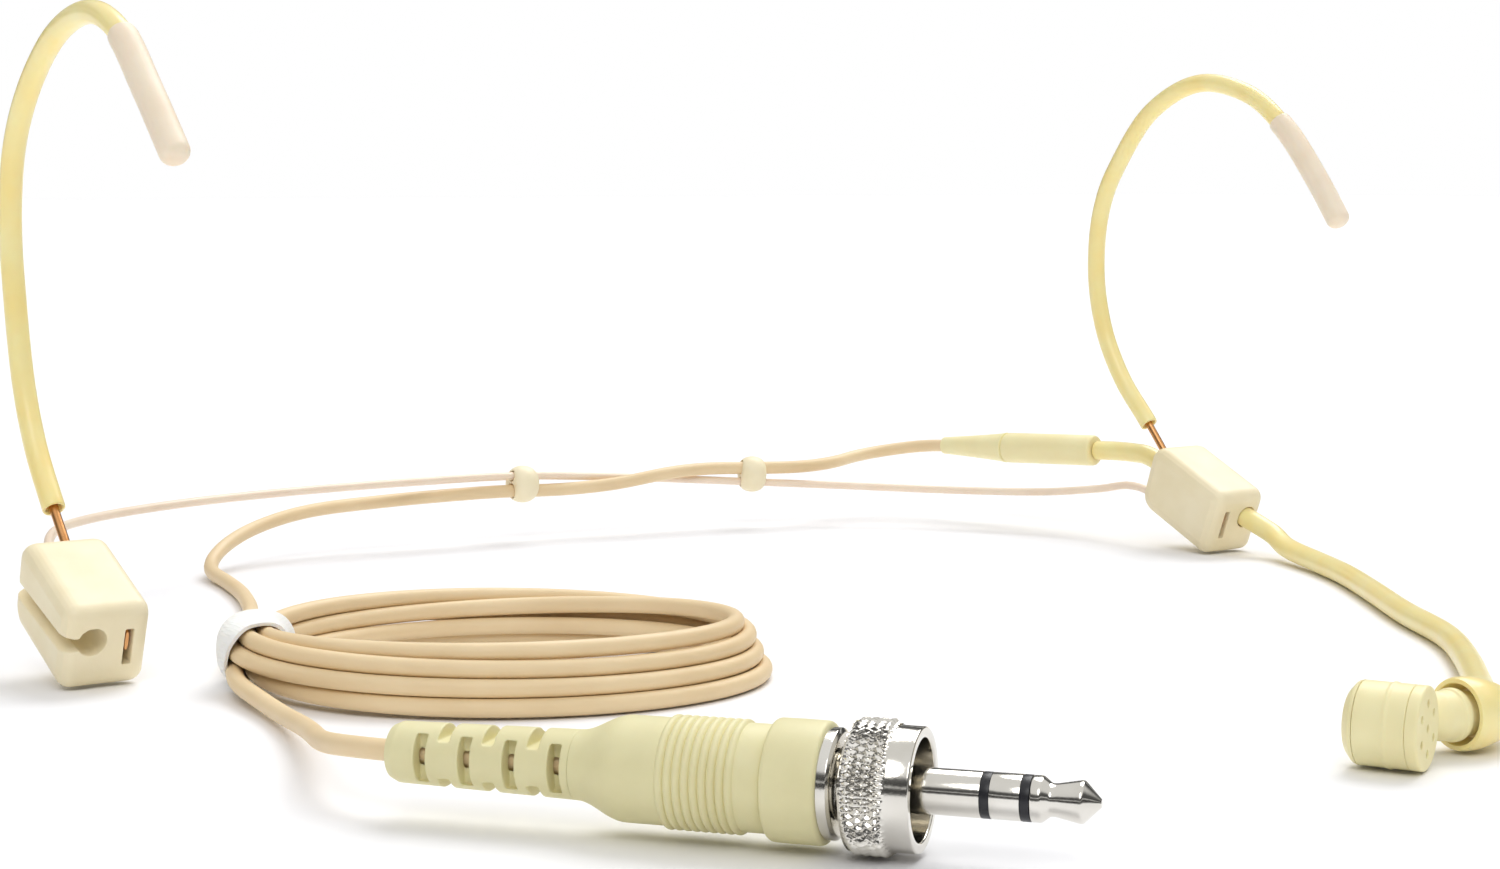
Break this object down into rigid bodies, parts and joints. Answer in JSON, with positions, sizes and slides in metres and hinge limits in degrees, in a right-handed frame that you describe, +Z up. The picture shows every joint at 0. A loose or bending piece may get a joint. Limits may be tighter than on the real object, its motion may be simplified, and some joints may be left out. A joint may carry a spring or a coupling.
{
  "type": "headworn microphone",
  "caption": "Skin-tone ear-worn microphone with a sliding, turning boom, swivel ear hooks, neckband and a coiled lead to a locking mini plug.",
  "frame": {"origin": "centre of the headset's own box at its base, on the table; the lead, coil and plug are left out of that box", "axes": "+X from the left clip to the right clip, +Y to the back (neckband side), +Z up"},
  "size_m": [0.1692, 0.1806, 0.068],
  "materials": {
    "skin_plastic": "moulded, satin",
    "silicone": "translucent yellow, soft",
    "hook_tip": "soft, satin",
    "cable": "matt PVC jacket",
    "tie": "soft white",
    "neckband": "skin-tone coated wire",
    "copper_wire": "copper-coloured spring wire",
    "nickel": "bright nickel plate",
    "insulator": "black",
    "screen": "fine mesh"
  },
  "bodies": {
    "root": {"left_clip_block": "skin_plastic", "left_clip_spring": "copper_wire", "right_clip_block": "skin_plastic", "right_clip_spring": "copper_wire", "neckband_wire": "neckband", "cable_run": "cable", "cable_coil": "cable", "cable_lead": "cable", "cable_tie": "tie", "plug_strain_relief": "skin_plastic", "plug_grip": "skin_plastic", "plug_collar": "skin_plastic", "plug_flange": "nickel", "nut_snap_ring": "nickel", "sleeve_contact": "nickel", "rear_insulator": "insulator", "ring_contact": "nickel", "front_insulator": "insulator", "tip_contact": "nickel"},
    "boom_tail": {"boom_tail_sleeve": "silicone", "boom_tail_barrel": "skin_plastic", "boom_tail_relief": "skin_plastic"},
    "boom": {"boom_sleeve": "silicone", "boom_core_wire": "copper_wire", "boom_end_cup": "silicone"},
    "capsule": {"capsule_body": "skin_plastic", "capsule_front_cap": "skin_plastic", "capsule_port_cap": "skin_plastic", "capsule_screen": "screen", "capsule_element": "nickel"},
    "left_hook": {"left_hook_wire": "copper_wire", "left_hook_sleeve": "silicone", "left_hook_tip": "hook_tip"},
    "right_hook": {"right_hook_wire": "copper_wire", "right_hook_sleeve": "silicone", "right_hook_tip": "hook_tip"},
    "left_bead": {"bead_left": "skin_plastic"},
    "right_bead": {"bead_right": "skin_plastic"},
    "coupling_nut": {"coupling_nut": "nickel"}
  },
  "joints": [
    {"name": "boom_slide", "type": "slide", "parent": "root", "child": "boom_tail", "axis": [0, 0.9397, 0.342], "range_m": [-0.005, 0.005], "deforming": ["cable_run"]},
    {"name": "boom_roll", "type": "hinge", "parent": "boom_tail", "child": "boom", "pos_m": [0.0817, 0.02288, 0.00741], "axis": [0, 0.9397, 0.342], "range_deg": [0, 100]},
    {"name": "capsule_swivel", "type": "hinge", "parent": "boom", "child": "capsule", "pos_m": [0.00637, -0.08101, 0.00354], "axis": [0.9955, -0.09, -0.03], "range_deg": [-90, 90]},
    {"name": "left_hook_swivel", "type": "hinge", "parent": "root", "child": "left_hook", "pos_m": [-0.0791, 0.02584, 0.00896], "axis": [0, 0.65, 0.76], "range_deg": [-30, 30]},
    {"name": "right_hook_swivel", "type": "hinge", "parent": "root", "child": "right_hook", "pos_m": [0.0791, 0.02584, 0.00896], "axis": [0, 0.65, 0.76], "range_deg": [-30, 30]},
    {"name": "left_bead_slide", "type": "slide", "parent": "root", "child": "left_bead", "axis": [0.998, -0.0299, -0.0549], "range_m": [-0.004, 0.004]},
    {"name": "right_bead_slide", "type": "slide", "parent": "root", "child": "right_bead", "axis": [0.9258, -0.3735, -0.0579], "range_m": [-0.004, 0.004]},
    {"name": "coupling_nut_spin", "type": "hinge", "parent": "root", "child": "coupling_nut", "pos_m": [-0.05874, -0.07726, 0.00531], "axis": [0.5862, -0.8102, 0], "continuous": true}
  ]
}
